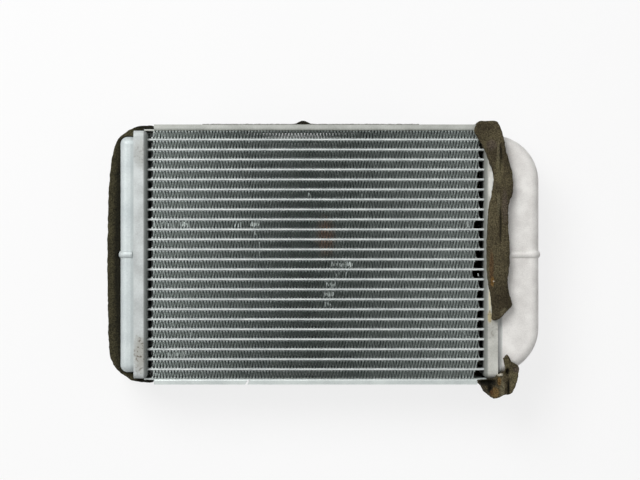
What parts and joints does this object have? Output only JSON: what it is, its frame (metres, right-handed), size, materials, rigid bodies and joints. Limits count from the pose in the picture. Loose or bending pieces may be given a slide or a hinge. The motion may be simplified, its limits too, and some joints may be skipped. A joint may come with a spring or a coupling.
{
  "type": "heater core",
  "caption": "Brazed aluminium heater core with flat tubes, corrugated fins, two end tanks, side plates and the worn remains of its foam seals.",
  "frame": {"origin": "middle of the whole part's footprint, on the plane that it lies on", "axes": "+X along the tubes towards the tank with the ports, +Y across the stack, +Z out of the air face"},
  "size_m": [0.263, 0.1684, 0.051],
  "materials": {
    "tube_metal": "brazed mill finish, lightly oxidised",
    "fin_metal": "thin rolled sheet, dull",
    "header_metal": "brazed mill finish with flux stains",
    "left_tank_metal": "drawn sheet, satin",
    "right_tank_metal": "drawn sheet, dull and mottled by the braze flux",
    "plate_metal": "folded sheet, mottled",
    "ferrule_metal": "turned",
    "dark_foam": "aged open-cell foam, matt",
    "brown_foam": "aged open-cell foam, matt and torn"
  },
  "bodies": {
    "root": {"tube_01": "tube_metal", "tube_02": "tube_metal", "tube_03": "tube_metal", "tube_04": "tube_metal", "tube_05": "tube_metal", "tube_06": "tube_metal", "tube_07": "tube_metal", "tube_08": "tube_metal", "tube_09": "tube_metal", "tube_10": "tube_metal", "tube_11": "tube_metal", "tube_12": "tube_metal", "tube_13": "tube_metal", "tube_14": "tube_metal", "tube_15": "tube_metal", "tube_16": "tube_metal", "tube_17": "tube_metal", "tube_18": "tube_metal", "tube_19": "tube_metal", "tube_20": "tube_metal", "tube_21": "tube_metal", "tube_22": "tube_metal", "tube_23": "tube_metal", "tube_24": "tube_metal", "fin_01": "fin_metal", "fin_02": "fin_metal", "fin_03": "fin_metal", "fin_04": "fin_metal", "fin_05": "fin_metal", "fin_06": "fin_metal", "fin_07": "fin_metal", "fin_08": "fin_metal", "fin_09": "fin_metal", "fin_10": "fin_metal", "fin_11": "fin_metal", "fin_12": "fin_metal", "fin_13": "fin_metal", "fin_14": "fin_metal", "fin_15": "fin_metal", "fin_16": "fin_metal", "fin_17": "fin_metal", "fin_18": "fin_metal", "fin_19": "fin_metal", "fin_20": "fin_metal", "fin_21": "fin_metal", "fin_22": "fin_metal", "fin_23": "fin_metal", "fin_24": "fin_metal", "fin_25": "fin_metal", "left_header": "header_metal", "right_header": "header_metal", "left_tank": "left_tank_metal", "right_tank": "right_tank_metal", "top_side_plate": "plate_metal", "bottom_side_plate": "plate_metal", "baffle": "header_metal", "port_ferrules": "ferrule_metal", "left_foam_band": "dark_foam", "top_foam_strip": "dark_foam", "right_foam_band": "brown_foam"}
  },
  "joints": []
}
